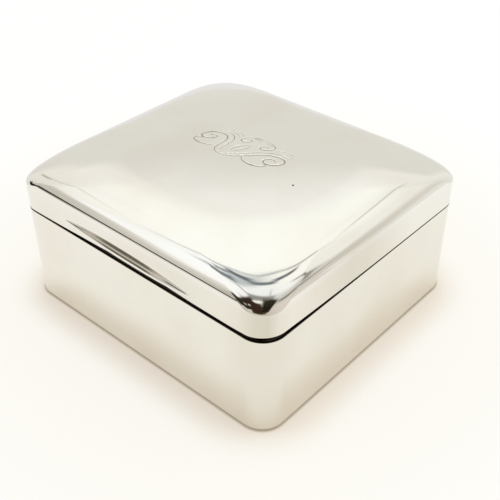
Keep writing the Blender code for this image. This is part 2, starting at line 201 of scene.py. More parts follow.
# %% World: what stands in the tent
# Each is a soft-edged box in the room's degrees: middle, half sizes, softness, lean in degrees and tone.
# A word at the end makes it an ellipse or counts it in the horizon's degrees; a number makes it fainter.
STANDING = [
    # The tent's side walls, which leave a bright wedge of roof between them
    ((-52.5, 33.5), (30, 62), 0.32, 45.8, "#ECE8DD"),
    ((52.8, 25.0), (30, 62), 0.28, -51.7, "#ECE8DD"),
    ((-76, 20), (36, 36), 0.35, 0, "#E3E1D7"),
    ((77, 18), (38, 36), 0.35, 0, "#E4E2D8"),
    ((-3, 1), (35, 34), 0.13, 0, "#DCD9CF", "ellipse"),
    ((4.5, 12), (29.5, 18.5), 0.12, 0, "#DBD8CD"),
    ((-71.5, 100), (9.5, 36), 0.35, 0, "#D9D6CA"),
    ((56, 138), (37, 41), 0.12, 0, "#DDD5CA"),
    ((-38, 93), (25, 12), 0.40, 0, "#FDFDF9"),
    ((-1, 81), (8, 6), 0.35, 0, "#FAFCFA"),
    ((15, 83), (8, 7), 0.35, 0, "#F6F7F2"),
    ((74, 80), (7, 25), 0.60, 0, "#CFCBBE", 0.8),
    # The far and right edges of the roof panel: a dark frame that widens to a bluish gap
    ((-9, 76.3), (13, 3.0), 0.70, -18, "#BFC5C4", "ellipse"),
    ((-20.5, 75.6), (7.5, 0.8), 0.50, -11.7, "#8D9390"),
    ((-9, 73.5), (6.5, 1.1), 0.50, 4, "#6A7074"),
    ((3, 74.8), (7, 0.9), 0.50, -6, "#6C7175"),
    ((14.5, 71.75), (6.5, 0.9), 0.50, -12.8, "#64676B"),
    ((-34, 75.4), (8.5, 0.45), 0.60, -8, "#C6C6BD"),
    ((-18, 72.7), (8.6, 0.45), 0.60, -10, "#BCBFB9"),
    ((-5, 71.1), (6, 0.5), 0.60, -2, "#C8CAC6"),
    ((4.5, 70), (5, 0.5), 0.60, -12.5, "#C0C2BD"),
    ((24, 68), (15.5, 0.5), 0.60, -4, "#B4B2AA"),
    ((-35, 81.7), (8, 1.7), 0.45, -10, "#84898C"),
    ((-22, 79.2), (8, 1.5), 0.45, -12, "#7A8288"),
    ((-10.5, 86.3), (8, 0.6), 0.50, 46, "#868A8C"),
    ((8.5, 85), (0.6, 5), 0.60, 0, "#C4C8CA"),
    ((-36.5, 33), (7, 0.8), 0.60, 100, "#B9B5A9"),
    ((-41, 55), (14, 0.6), 0.60, 105, "#D2CFC4"),
    ((38, 54), (9, 0.6), 0.60, 68, "#CFCBBF"),
    # What the right side of the lid mirrors: a dim strip low down and a lighter wall above it
    ((40, 17), (22, 7), 0.80, 0, "#D3CEC0", "horizon", 0.7),
    ((36, 38), (11, 9), 0.60, 0, "#E8E5DA", "horizon", 0.6),
    # At the right a grey curtain rail with a hooked edge
    ((42, 91), (24, 8.5), 0.60, -8, "#BDB9AD", 0.8),
    ((43, 93), (21, 2.4), 0.60, -7, "#827C72"),
    ((37.5, 78.0), (11, 0.7), 0.60, 2, "#A09C94"),
    ((53, 79.0), (8, 0.9), 0.60, 4, "#78736A"),
    ((44.2, 27.0), (3.6, 0.5), 0.50, -56, "#938E84", "horizon"),
    ((51, 20.6), (5, 1.6), 0.50, 0, "#918C80", "horizon"),
    # A plain dark card at the camera's side, with a grey fringe, two glints and a pale edge
    ((2, 88.3), (12, 3.2), 0.30, 0, "#96968F"),
    ((-56, 125), (24, 9), 0.20, -54, "#3C3529", "ellipse"),
    ((-14, 136), (15, 20), 0.20, 8, "#38261A"),
    ((3, 134), (8, 18), 0.45, 14, "#4A4230"),
    ((-27.6, 113.4), (28, 12.5), 0.12, -31, "#302C20"),
    ((-13, 118), (13, 22), 0.25, 0, "#38261C"),
    ((8.5, 111), (9, 21), 0.18, 8, "#231D13"),
    ((11.5, 96.5), (8, 6.5), 0.20, 0, "#2A271C", "ellipse"),
    ((-4.6, 94.8), (5.6, 2.3), 0.25, 0, "#FFFEF6", "ellipse"),
    ((-33, 113.5), (2.6, 1.8), 0.30, 0, "#F0F0E6", "ellipse"),
    ((-22.5, 109), (2.3, 1.8), 0.30, 0, "#F8F8EE", "ellipse"),
    # A dim wall beside the card, and the card's far end before it
    ((-138, 15), (31, 5.5), 0.80, 0, "#CBC6BB", "horizon", 0.85),
    ((-121, 18), (13, 9), 0.45, 0, "#C6C1B4", "horizon", 0.95),
    ((-60, 134), (12, 5), 0.20, -58, "#3C3529"),
    # The table's far edge at the camera's side: a dark line over the floor, thick at its end
    ((-140, 6.9), (28, 2.2), 0.25, 9, "#2A261E", "horizon"),
    ((-117, 9.6), (19, 3.7), 0.25, 14, "#211D13", "horizon"),
    ((-119, 9.2), (9, 5.8), 0.25, 14, "#211D13", "horizon"),
]
for middle, half_sizes, softness, lean, hex_colour, *special in STANDING:
    view = views["horizon" if "horizon" in special else "room"]
    strength = ([1.0] + [word for word in special if isinstance(word, float)])[-1]
    shifted = add(sky, "VectorMath", {0: view, 1: (*middle, 0)}, operation="SUBTRACT")
    if lean:
        turn = math.radians(-lean)
        shifted = add(sky, "VectorRotate", {"Vector": shifted, "Angle": turn}, rotation_type="Z_AXIS")
    scaled = add(sky, "VectorMath", {0: shifted, 1: (*half_sizes, 1)}, operation="DIVIDE")
    if "ellipse" in special:
        reach = add(sky, "VectorMath", {0: scaled}, "Value", operation="LENGTH")
    else:
        plain = add(sky, "VectorMath", {0: scaled}, operation="ABSOLUTE")
        across, along, _ = add(sky, "SeparateXYZ", {0: plain}, None)
        reach = add(sky, "Math", {0: across, 1: along}, operation="MAXIMUM")
    mask = add(sky, "MapRange", {0: reach, 1: 1 + softness, 2: 1 - softness, 4: strength}, **SOFT)
    seen = add(sky, "Mix", {0: mask, 6: seen, 7: tone(hex_colour)}, **MIXED)
print("patches in the tent", len(STANDING))

# %% World: who sees what
# The tones are written as silver shows them, so they are divided by the silver's own tone
undone = add(sky, "VectorMath", {0: seen, 1: tone(SILVER_TONE)[:3]}, operation="DIVIDE")
tent = add(sky, "Background", {0: undone})
even_light = add(sky, "Background", {0: tone("#FFFDF9"), 1: SKY_LEVEL})
white = add(sky, "Background", {0: tone("#FFFFFF")})
rays = add(sky, "LightPath", out=None)
mirrored = add(sky, "Math", {0: rays["Is Glossy Ray"], 1: rays["Is Transmission Ray"]}, operation="MAXIMUM")
lit = add(sky, "MixShader", {0: mirrored, 1: even_light, 2: tent})
shown = add(sky, "MixShader", {0: rays["Is Camera Ray"], 1: lit, 2: white})
add(sky, "OutputWorld", {0: shown}, None)
print("world nodes", len(sky.nodes))

# %% [markdown]
# One broad soft lamp stands behind and above, so that the floor and the wood have a lit side.
# It isn't seen in the silver, because the tent already says what the silver mirrors.

# %% Soft lamp
lamp = new_object("soft_lamp", bpy.data.lights.new("soft_lamp", "AREA"))
lamp.data.shape = "SQUARE"
lamp.data.size = 700 * MM
lamp.data.energy = 0.9
lamp.location = Vector((250, 260, 620)) * MM
lamp.rotation_euler = (-lamp.location).to_track_quat("-Z", "Y").to_euler()
lamp.visible_glossy = False
lamp.visible_camera = False
print("lamp", round(lamp.location.length, 3), "m away")

# %% [markdown]
# The box stands on plain white card. Close to the walls the card is darker and warmer,
# because the silver keeps the light off it. Ambient Occlusion finds those places by how close
# the box stands, and tints them. Further off the card is too bright for the photograph and turns white.

# %% Floor
floor_finish = bpy.data.materials.new("matt_white_card")
floor_finish.use_nodes = True
card = floor_finish.node_tree
card.nodes.clear()


def darkness(reach, clear, full):
    """How near the box stands, from 0 at an openness of clear to 1 at an openness of full."""
    openness = add(card, "AmbientOcclusion", {"Distance": reach}, "AO", samples=12)
    return add(card, "MapRange", {0: openness, 1: clear, 2: full}, **SOFT)


def beyond(length, start, end):
    """0 nearer than start, 1 further than end, and soft in between."""
    return add(card, "MapRange", {0: length, 1: start, 2: end}, **SOFT)


place = add(card, "TexCoord", out="Object")
distance = add(card, "VectorMath", {0: place}, "Value", operation="LENGTH")
far = beyond(distance, 55 * MM, 140 * MM)
plain = add(card, "Mix", {0: far, 6: tone("#FCFAF3"), 7: tone("#FFFFFE")}, **MIXED)
shade = darkness(14 * MM, 0.95, 0.60)
tinted = add(card, "Mix", {0: shade, 6: plain, 7: tone("#F1E8DB")}, **MIXED)
contact = darkness(0.9 * MM, 1.0, 0.5)
tinted = add(card, "Mix", {0: contact, 6: tinted, 7: tone("#B9AC99")}, **MIXED)
matt = add(card, "BsdfDiffuse", {0: tinted})
bright = add(card, "Emission", {0: tinted})
# How much the bright card outshines its own shading: less beside the box, more further off
outshone = add(card, "MapRange", {0: shade, 3: 0.86, 4: 0.5})
paths = add(card, "LightPath", out=None)
direct = add(card, "Math", {0: paths["Is Camera Ray"], 1: paths["Is Glossy Ray"]}, operation="MAXIMUM")
direct = add(card, "Math", {0: direct, 1: paths["Is Transmission Ray"]}, operation="MAXIMUM")
outshone = add(card, "Math", {0: outshone, 1: direct}, operation="MULTIPLY")
top_side = add(card, "MixShader", {0: outshone, 1: matt, 2: bright})
# Behind the box the tent's grey wall begins, and silver that is turned that way mirrors it
behind = add(card, "VectorMath", {0: place, 1: AWAY}, "Value", operation="DOT_PRODUCT")
walled = beyond(behind, 75 * MM, 120 * MM)
walled = add(card, "Math", {0: walled, 1: paths["Is Glossy Ray"]}, operation="MULTIPLY")
grey = add(card, "Emission", {0: tone("#EEEDED")})
top_side = add(card, "MixShader", {0: walled, 1: top_side, 2: grey})
# From below the card is clear, so that the underside can be looked at
clear = add(card, "BsdfTransparent")
under = add(card, "NewGeometry", out="Backfacing")
whole = add(card, "MixShader", {0: under, 1: top_side, 2: clear})
add(card, "OutputMaterial", {0: whole}, None)

FLOOR_HALF = 3.0
FLOOR_LEVEL = -0.02 * MM
floor_mesh = bpy.data.meshes.new("floor")
four_ways = ((-1, -1), (1, -1), (1, 1), (-1, 1))
floor_corners = [(x * FLOOR_HALF, y * FLOOR_HALF, FLOOR_LEVEL) for x, y in four_ways]
floor_mesh.from_pydata(floor_corners, [], [(0, 1, 2, 3)])
floor_mesh.materials.append(floor_finish)
floor = new_object("floor", floor_mesh)
print("floor", 2 * FLOOR_HALF, "m wide")

# %% [markdown]
# Sterling silver is rolled to sheet, raised, soldered and polished with rouge.
# That gives the eye a near mirror with a faint warmth, a slight cloudiness where it is handled,
# and hairline scratches from a century of cloths. Metallic is 1, and the colour is what pure
# reflection is multiplied by. Roughness stays low and wanders a little.

# %% Polished silver
HAZE = 0.04


def new_finish(name):
    """A material, its tree, and the output that says where on the object a point lies."""
    finish = bpy.data.materials.new(name)
    finish.use_nodes = True
    return finish, finish.node_tree, add(finish.node_tree, "TexCoord", out="Object")


def dress(tree, sockets):
    """Sets the inputs of the material's own shader."""
    connect(tree, tree.nodes["Principled BSDF"], sockets)


silver, tree, where = new_finish("polished_sterling_silver")
clouds = add(tree, "TexNoise", {"Vector": where, "Scale": 45.0, "Detail": 3.0})
cloudy = add(tree, "MapRange", {0: clouds, 1: 0.42, 2: 0.78, 4: 0.5})
colour = add(tree, "Mix", {0: cloudy, 6: tone(SILVER_TONE), 7: tone("#E6DFD3")}, **MIXED)
# Tarnish starts as a straw-coloured film and then turns black. The same amount also paints shade black in the
# seam and inside, and with the film paints dimmer reflections on the walls and the thumbpiece
black = add(tree, "Attribute", None, "Fac", attribute_name="tarnish")
film_and_painted_dimming = add(tree, "MapRange", {0: black, 1: 0.0, 2: 0.3})
colour = add(tree, "Mix", {0: film_and_painted_dimming, 6: colour, 7: tone("#CEC7B5")}, **MIXED)
black_tarnish_and_shade = add(tree, "MapRange", {0: black, 1: 0.2, 2: 1.0})
colour = add(tree, "Mix", {0: black_tarnish_and_shade, 6: colour, 7: tone("#1C1610")}, **MIXED)
# Hairlines are about 0.03 mm wide on the real box; 0.12 mm is the finest that shows here
stretched = add(tree, "Mapping", {0: where, 2: (0, 0, 0.7), 3: (900, 14000, 900)})
hairs = add(tree, "TexNoise", {"Vector": stretched, "Scale": 0.6, "Detail": 2.0})
wipes = add(tree, "MapRange", {0: hairs, 1: 0.60, 2: 0.72, 4: 0.035})
breath = add(tree, "TexNoise", {"Vector": where, "Scale": 160.0, "Detail": 2.0})
base = add(tree, "MapRange", {0: breath, 1: 0.3, 2: 0.7, 3: HAZE * 0.8, 4: HAZE * 1.3})
rough = add(tree, "Math", {0: base, 1: wipes}, operation="ADD")
rough = add(tree, "Math", {0: black, 1: 0.3, 2: rough}, operation="MULTIPLY_ADD")
dress(tree, {"Metallic": 1.0, "Base Color": colour, "Roughness": rough})
print(silver.name)

# %% [markdown]
# Many pieces are a row of rings joined by faces, like a barrel.
# One helper joins them, turns the faces outward, and marks edges over 30 degrees sharp,
# so that flat parts stay flat and round parts stay round.

# %% Loft and settle
SHARP = math.radians(30)
JOINED_WITHIN = 0.0005 * MM
SLIVER = 0.0002 * MM


def write_mesh(shape, mesh, finish):
    """Writes a bmesh into a mesh: faces outward, sharp edges marked, one finish."""
    bmesh.ops.recalc_face_normals(shape, faces=shape.faces)
    shape.to_mesh(mesh)
    shape.free()
    mesh.materials.clear()
    mesh.materials.append(finish)
    mesh.shade_smooth()
    mesh.set_sharp_from_angle(angle=SHARP)
    return mesh


def piece_from(name, shape, finish):
    """An object at the origin from a bmesh."""
    bmesh.ops.remove_doubles(shape, verts=shape.verts, dist=JOINED_WITHIN)
    return new_object(name, write_mesh(shape, bpy.data.meshes.new(name), finish))


def loft(name, rings, finish):
    """Faces between rows of closed rings, with both ends capped."""
    rings = np.asarray(rings, float)
    rows, count = rings.shape[:2]
    shape = bmesh.new()
    points = [shape.verts.new(point) for point in rings.reshape(-1, 3)]
    for row in range(rows - 1):
        lower, upper = row * count, (row + 1) * count
        for index in range(count):
            following = (index + 1) % count
            around = (lower + index, lower + following, upper + following, upper + index)
            shape.faces.new([points[at] for at in around])
    shape.faces.new(points[:count][::-1])
    shape.faces.new(points[-count:])
    return piece_from(name, shape, finish)


def settle(piece, finish):
    """Turns a piece's modifiers into plain mesh and gives it one finish."""
    bpy.context.view_layer.update()
    graph = bpy.context.evaluated_depsgraph_get()
    mesh = bpy.data.meshes.new_from_object(piece.evaluated_get(graph), depsgraph=graph)
    mesh.name = piece.name
    # A Boolean or a bevel can leave slivers with no area, so points that lie together are merged
    shape = bmesh.new()
    shape.from_mesh(mesh)
    bmesh.ops.remove_doubles(shape, verts=shape.verts, dist=SLIVER)
    bmesh.ops.dissolve_degenerate(shape, dist=SLIVER, edges=shape.edges)
    piece.modifiers.clear()
    piece.data = write_mesh(shape, mesh, finish)
    mesh.calc_loop_triangles()
    print(piece.name, "triangles", len(mesh.loop_triangles))
    return piece


def place_on(piece, body, slot, *nodes):
    """The piece rides on a body and stands for the CAD nodes named, which are hidden; slot is not used."""
    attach(piece, body)
    if nodes:
        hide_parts(*nodes)
    return piece


def blacken(piece, rule):
    """Stores how dark the silver is painted at each point, 0 polished to 1 black, for tarnish and painted
    shade; rule(place, facing) says so.
    """
    amounts = [rule(point.co, point.normal) for point in piece.data.vertices]
    piece.data.attributes.new("tarnish", "FLOAT", "POINT").data.foreach_set("value", amounts)
    return piece


def faces_inward(place, facing, slack=0.1 * MM):
    """Whether a point's face looks towards the upright line through the middle of the box."""
    return facing.x * place.x + facing.y * place.y < -slack


def rising(value, start, end):
    """0 before start, 1 after end, and even in between; the two may also run downwards."""
    return min(max((value - start) / (end - start), 0.0), 1.0)


# %% [markdown]
# The hinge is let into the back edges: a round channel leaves room for its tube,
# and a bevel lets the lid lean back past upright. Both are cut from the lid and the case with a Boolean.

# %% Cutters for the hinge
KNUCKLE_RADIUS = 1.3 * MM
HINGE_LENGTH = WIDTH - 2 * CORNER_RADIUS
TUBE_CLEARANCE = 0.1 * MM
CIRCLE_FINE = 64
# How far the lid leans back: the joint's limit and 2 degrees to spare, from its place at rest
LEAN = math.radians(100) + REST_TILT + math.radians(2)


def drawn_along_x(name, profile, reach):
    """A (y, z) outline drawn out along X to both sides."""
    return loft(name, [[(x, y, z) for y, z in profile] for x in (-reach, reach)], silver)


def turned(profile, count, middle=(0.0, 0.0, 0.0)):
    """Rings round an upright line through a middle, from (radius, level) pairs in millimetres."""
    turns = np.linspace(0, 2 * math.pi, count, endpoint=False)
    return [[(middle[0] + radius * math.cos(turn) * MM, middle[1] + radius * math.sin(turn) * MM,
              middle[2] + level * MM) for turn in turns] for radius, level in profile]


def one_cutter(name, shapes):
    """One cutter from many lofted shapes, which are taken away."""
    together = bmesh.new()
    for shape in shapes:
        together.from_mesh(shape.data)
        bpy.data.objects.remove(shape)
    cutter = new_object(name, bpy.data.meshes.new(name))
    together.to_mesh(cutter.data)
    together.free()
    return cutter


def cut(piece, *cutters):
    """Cuts shapes out of a piece with Boolean modifiers."""
    for cutter in cutters:
        boolean = piece.modifiers.new(cutter.name, "BOOLEAN")
        boolean.operation = "DIFFERENCE"
        boolean.solver = "EXACT"
        boolean.object = cutter
    return piece


channel_radius = KNUCKLE_RADIUS + TUBE_CLEARANCE
CHANNEL_OVERRUN = 1.6 * MM
circle = [(HINGE_AXIS.y + channel_radius * math.cos(turn), HINGE_AXIS.z + channel_radius * math.sin(turn))
          for turn in np.linspace(0, 2 * math.pi, CIRCLE_FINE, endpoint=False)]
channel = drawn_along_x("channel_cutter", circle, HINGE_LENGTH / 2 + CHANNEL_OVERRUN)
wedge_run = 2.6 * MM
wedge_rise = wedge_run * math.tan(LEAN / 2)
wedge = drawn_along_x("bevel_cutter", [
    (HINGE_AXIS.y, HINGE_AXIS.z),
    (HINGE_AXIS.y + wedge_run, HINGE_AXIS.z - wedge_rise),
    (HINGE_AXIS.y + wedge_run, HINGE_AXIS.z + wedge_rise),
], WIDTH / 2)
print("channel radius", round(channel_radius / MM, 2), "mm")

# %% [markdown]
# The case is one strip of sheet bent round a former, with its foot turned in to make a flange.
# Its section never changes along the way round, so Geometry Nodes can sweep it along a rounded rectangle.
# The path is resampled finely, because a mirror shows every facet.

# %% Geometry Nodes tree for a swept wall
# Points in a small rounded edge and in a corner of the case
EDGE_FINE = 4
CASE_CORNER_FINE = 96


def new_tree(name, inputs):
    """A Geometry Nodes tree and its inputs, named in lists under their kinds."""
    tree = bpy.data.node_groups.new(name, "GeometryNodeTree")
    tree.interface.new_socket("Geometry", in_out="OUTPUT", socket_type="NodeSocketGeometry")
    for kind, labels in inputs.items():
        for label in labels:
            tree.interface.new_socket(label, in_out="INPUT", socket_type=f"NodeSocket{kind}")
    return tree, add(tree, "NodeGroupInput", out=None)


def end_tree(tree, geometry, finish):
    """Realize Instances, Set Material and the output."""
    real = add(tree, "GeometryNodeRealizeInstances", {0: geometry})
    dressed = add(tree, "GeometryNodeSetMaterial", {0: real, 2: finish})
    add(tree, "NodeGroupOutput", {0: dressed}, None)


def even_steps(tree, path, spacing):
    """A curve cut into even steps, with its sections kept upright."""
    path = add(tree, "GeometryNodeResampleCurve", {0: path, 3: spacing}, mode="LENGTH")
    return add(tree, "GeometryNodeSetCurveNormal", {0: path}, mode="Z_UP")


def rounded_oblong(tree, width, height, radius, points):
    """An oblong curve with rounded corners of so many points."""
    oblong = add(tree, "GeometryNodeCurvePrimitiveQuadrilateral", {0: width, 1: height})
    return add(tree, "GeometryNodeFilletCurve", {0: oblong, 1: points, 2: radius, 3: True}, mode="POLY")


def grow(name, tree, values, finish):
    """A piece from a tree, its inputs set by socket identifier, then made plain mesh."""
    piece = new_object(name, bpy.data.meshes.new(name))
    modifier = piece.modifiers.new(name, "NODES")
    modifier.node_group = tree
    for socket in tree.interface.items_tree:
        if socket.in_out == "INPUT" and socket.name in values:
            modifier[socket.identifier] = values[socket.name]
    return settle(piece, finish)


def outline_curve(name, points, closed):
    """A curve object of straight steps through (x, y) or (x, y, z) points."""
    data = bpy.data.curves.new(name, "CURVE")
    data.dimensions = "3D"
    spline = data.splines.new("POLY")
    spline.points.add(len(points) - 1)
    for target, point in zip(spline.points, points):
        target.co = (*point, *[0.0] * (3 - len(point)), 1.0)
    spline.use_cyclic_u = closed
    return new_object(name, data)


sweep, given = new_tree("swept_wall", {"Float": ["Width", "Depth", "Corner radius", "Spacing"],
                                       "Object": ["Section"]})
path = rounded_oblong(sweep, given["Width"], given["Depth"], given["Corner radius"], CASE_CORNER_FINE)
path = even_steps(sweep, path, given["Spacing"])
section = add(sweep, "GeometryNodeObjectInfo", {0: given["Section"]}, "Geometry")
wall = add(sweep, "GeometryNodeCurveToMesh", {0: path, 1: section})
end_tree(sweep, wall, silver)
print("sweep nodes", len(sweep.nodes))

# %% [markdown]
# A section is a closed outline in (inset, height): how far in from the case's outer face, and how high.
# Real sheet has no knife edges, so each corner gets a small radius.
# Close beside every radius stands one more point. It keeps the flat next to it truly flat,
# since smooth shading blends the direction of neighbouring faces.

# %% Sections with rounded corners
def eased(corners, steps=4, support=0.06 * MM, longest=1.6 * MM):
    """Rounds the (a, b, radius) corners of a closed outline; no step is longer than given."""
    outline = []
    count = len(corners)
    for index in range(count):
        before, here, after = [np.array(corners[(index + shift) % count][:2]) for shift in (-1, 0, 1)]
        radius = corners[index][2]
        towards = (before - here) / np.linalg.norm(before - here)
        onwards = (after - here) / np.linalg.norm(after - here)
        half_angle = math.acos(max(-1.0, min(1.0, float(towards @ onwards)))) / 2
        setback = radius / math.tan(half_angle)
        start, end = here + towards * setback, here + onwards * setback
        outline.append(start + towards * support)
        halfway = (towards + onwards) / np.linalg.norm(towards + onwards)
        centre = here + halfway * radius / math.sin(half_angle)
        for step in range(steps + 1):
            arm = start - centre + (end - start) * step / steps
            outline.append(centre + arm / np.linalg.norm(arm) * radius)
        outline.append(end + onwards * support)
    filled = []
    for index, point in enumerate(outline):
        following = outline[(index + 1) % len(outline)]
        pieces = max(1, math.ceil(np.linalg.norm(following - point) / longest))
        filled += [point + (following - point) * share / pieces for share in range(pieces)]
    return filled


WALL_FOOT = 0.4 * MM
FLANGE_TOP = WALL_FOOT + SHEET
FLANGE_WIDTH = 3.2 * MM
WIRE_WIDTH = 1.0 * MM
WIRE_HEIGHT = 1.4 * MM
FIT = 0.3 * MM
band_section = eased([
    (0.0, WALL_FOOT, 0.35 * MM),
    (0.0, MOUTH_HEIGHT, 0.14 * MM),
    (SHEET, MOUTH_HEIGHT, 0.14 * MM),
    (SHEET, FLANGE_TOP, 0.02 * MM),
    (SHEET + FLANGE_WIDTH, FLANGE_TOP, 0.2 * MM),
    (SHEET + FLANGE_WIDTH, WALL_FOOT, 0.2 * MM),
])
print("points in the wall's section", len(band_section))

# %% Case wall
band_outline = outline_curve("case_section", [(-inset, -rise) for inset, rise in band_section], True)
case_wall = grow("case_wall", sweep, {
    "Width": WIDTH, "Depth": DEPTH, "Corner radius": CORNER_RADIUS, "Spacing": 0.45 * MM,
    "Section": band_outline,
}, silver)

# Eight countersunk holes in the flange for the brass pins, at the corners of two rectangles
FLANGE_LINE = SHEET + FLANGE_WIDTH / 2
PIN_SPREAD = 0.56
HOLE_SECTION = [(1.06, 0.30), (1.06, 0.62), (0.58, 1.10), (0.58, 1.40)]
pin_x, pin_y = WIDTH / 2 - FLANGE_LINE, DEPTH / 2 - FLANGE_LINE
hole_places = [(side_x * share_x * pin_x, side_y * share_y * pin_y, 0.0)
               for share_x, share_y in ((1.0, PIN_SPREAD), (PIN_SPREAD, 1.0)) for side_x, side_y in four_ways]
holes = [loft("hole", turned(HOLE_SECTION, 48, middle), silver) for middle in hole_places]
pin_holes = one_cutter("pin_holes", holes)
settle(cut(case_wall, channel, wedge, pin_holes), silver)

# How dark the inside, the mouth's edge and the flange's underside are. The inside and the mouth's edge are
# painted shade, where little light reaches through the seam, on top of the unpolished silver's tarnish
INSIDE_SHADE_AND_TARNISH, MOUTH_EDGE_SHADE_AND_TARNISH, DULL_FLANGE = 0.7, 0.88, 0.14
# How strong the faint film is at steps away from the front right corner, along the front and the right side.
# It is tarnish that also paints the dimmer reflections round that corner
CORNER_STEPS = (0.0, 5 * MM, 14 * MM, 24 * MM)
FRONT_FILM_AND_PAINTED_DIMMING = (1.0, 0.8, 0.1, 0.0)
RIGHT_FILM_AND_PAINTED_DIMMING = (1.0, 0.8, 0.35, 0.4)


def case_tarnish_and_shade(place, facing):
    """Painted shade with some tarnish, black on the mouth's edge and dark inside; the flange's underside a
    little darker; and a faint film, stronger towards the foot and round the front right corner, which also
    paints dimmer reflections.
    """
    inside = faces_inward(place, facing)
    if place.z > MOUTH_HEIGHT - 0.3 * MM and facing.z > 0:
        return max(MOUTH_EDGE_SHADE_AND_TARNISH * rising(facing.z, 0.05, 0.4), INSIDE_SHADE_AND_TARNISH if inside else 0.0)
    if place.z < FLANGE_TOP and facing.z < -0.5:
        return DULL_FLANGE
    if inside or abs(facing.z) > 0.5:
        return INSIDE_SHADE_AND_TARNISH
    # A faint film, stronger towards the foot; on the front and the right it also paints the dimmer
    # reflections round the front right corner
    film_and_painted_dimming = 0.09 + 0.04 * rising(place.z, 14 * MM, 1 * MM)
    if facing.y < -0.7:
        return film_and_painted_dimming * float(np.interp(WIDTH / 2 - place.x, CORNER_STEPS, FRONT_FILM_AND_PAINTED_DIMMING))
    right_half = rising(place.x, 20 * MM, 35 * MM)
    return film_and_painted_dimming * right_half * float(np.interp(place.y + DEPTH / 2, CORNER_STEPS, RIGHT_FILM_AND_PAINTED_DIMMING))


blacken(case_wall, case_tarnish_and_shade)
place_on(case_wall, "base", "silver", "base_band")

# %% [markdown]
# Inside each mouth a wire is soldered to stiffen the sheet and to stop dust.
# The same idea makes it: one rounded section swept along an open path round the front and both sides.

# %% Mouth wires
laid, given = new_tree("laid_wire", {"Float": ["Wire width", "Wire height", "Edge radius", "Spacing"],
                                     "Object": ["Path"]})
path = add(laid, "GeometryNodeObjectInfo", {0: given["Path"]}, "Geometry")
path = even_steps(laid, path, given["Spacing"])
section = rounded_oblong(laid, given["Wire width"], given["Wire height"], given["Edge radius"], EDGE_FINE)
wire = add(laid, "GeometryNodeCurveToMesh", {0: path, 1: section, 3: True})
end_tree(laid, wire, silver)


def rounded_path(inset, level, ends_at, fine=24):
    """Points from the left back, round the front, to the right back, at an inset and a height."""
    half_x, half_y, radius = WIDTH / 2 - inset, DEPTH / 2 - inset, CORNER_RADIUS - inset
    points = [(-half_x, ends_at, level)]
    for side, first in ((-1, 180), (1, 270)):
        for step in range(fine + 1):
            turn = math.radians(first + 90 * step / fine)
            points.append((side * (half_x - radius) + radius * math.cos(turn),
                           radius - half_y + radius * math.sin(turn), level))
    return points + [(half_x, ends_at, level)]


def rest_open(piece):
    """Tilts a piece that was drawn level, as the lid rests on the cedar."""
    tilt = Matrix.Rotation(-REST_TILT, 4, "X")
    piece.data.transform(Matrix.Translation(HINGE_AXIS) @ tilt @ Matrix.Translation(-HINGE_AXIS))
    return piece


# How dark the wires are: painted shade, since they stand in the seam where little light reaches, with some
# tarnish
WIRE_SHADE_AND_TARNISH = 0.86
wire_inset = SHEET + (FIT + WIRE_WIDTH) / 2
for body, bottom in (("base", MOUTH_HEIGHT - WIRE_HEIGHT), ("lid", LID_EDGE)):
    path_points = rounded_path(wire_inset, bottom + WIRE_HEIGHT / 2, DEPTH / 2 - CORNER_RADIUS)
    mouth_wire = grow(f"{body}_wire", laid, {
        "Path": outline_curve(f"{body}_wire_path", path_points, False), "Wire width": WIRE_WIDTH + FIT,
        "Wire height": WIRE_HEIGHT, "Edge radius": 0.3 * MM, "Spacing": 0.5 * MM,
    }, silver)
    if body == "lid":
        rest_open(mouth_wire)
    blacken(mouth_wire, lambda place, facing: WIRE_SHADE_AND_TARNISH)
    place_on(mouth_wire, body, "silver", f"{body}_mouth_wire")

# %% [markdown]
# The lid is raised from one sheet. Its wall turns in a soft roll that flattens to a low crown,
# and its corners grow rounder towards the middle.
# Every ring follows one rule: a rounded rectangle hangs from four corner centres and faces outward.
# So the rings are worked out with numpy, which is the plain way to write a rule as a formula.

# %% The lid's rule
LID_WALL = 6.4 * MM
ROLL_RUN = 14.3 * MM
ROLL_RISE = 7.0 * MM
ROLL_FULLNESS = 1.93
CROWN_RISE = 2.4 * MM
CORNER_SPREAD = 5.0
CORNER_FINE = 32
SIDE_FINE = 80
# The crown's rings end this share of the way in, and a flat cap closes the rest
CROWN_END = 0.993
ROLL_START = LID_EDGE + LID_WALL

hang, face = [], []
corners = [(1, -1, -90), (1, 1, 0), (-1, 1, 90), (-1, -1, 180)]
for index, (sign_x, sign_y, first) in enumerate(corners):
    next_x, next_y, _ = corners[(index + 1) % 4]
    for step in range(CORNER_FINE):
        turn = math.radians(first + 90 * step / CORNER_FINE)
        hang.append((sign_x, sign_y))
        face.append((math.cos(turn), math.sin(turn)))
    for step in range(SIDE_FINE):
        share = (1 - math.cos(math.pi * step / SIDE_FINE)) / 2
        turn = math.radians(first + 90)
        hang.append((sign_x + (next_x - sign_x) * share, sign_y + (next_y - sign_y) * share))
        face.append((math.cos(turn), math.sin(turn)))
hang, face = np.array(hang), np.array(face)


def ring(half_x, half_y, radius, level):
    """One rounded ring at a height."""
    flat = hang * (half_x - radius, half_y - radius) + face * radius
    return np.column_stack([flat, np.full(len(flat), level)])


def lid_height(inset, shell=0.0):
    """Height of the lid's face at an inset from its wall."""
    half = DEPTH / 2 - shell
    share = min(max(inset, 0.0) / (ROLL_RUN - shell), 1.0)
    roll = (ROLL_RISE - shell) * (1 - (1 - share) ** ROLL_FULLNESS) ** (1 / ROLL_FULLNESS)
    return ROLL_START + roll + CROWN_RISE * (1 - (1 - inset / half) ** 2)


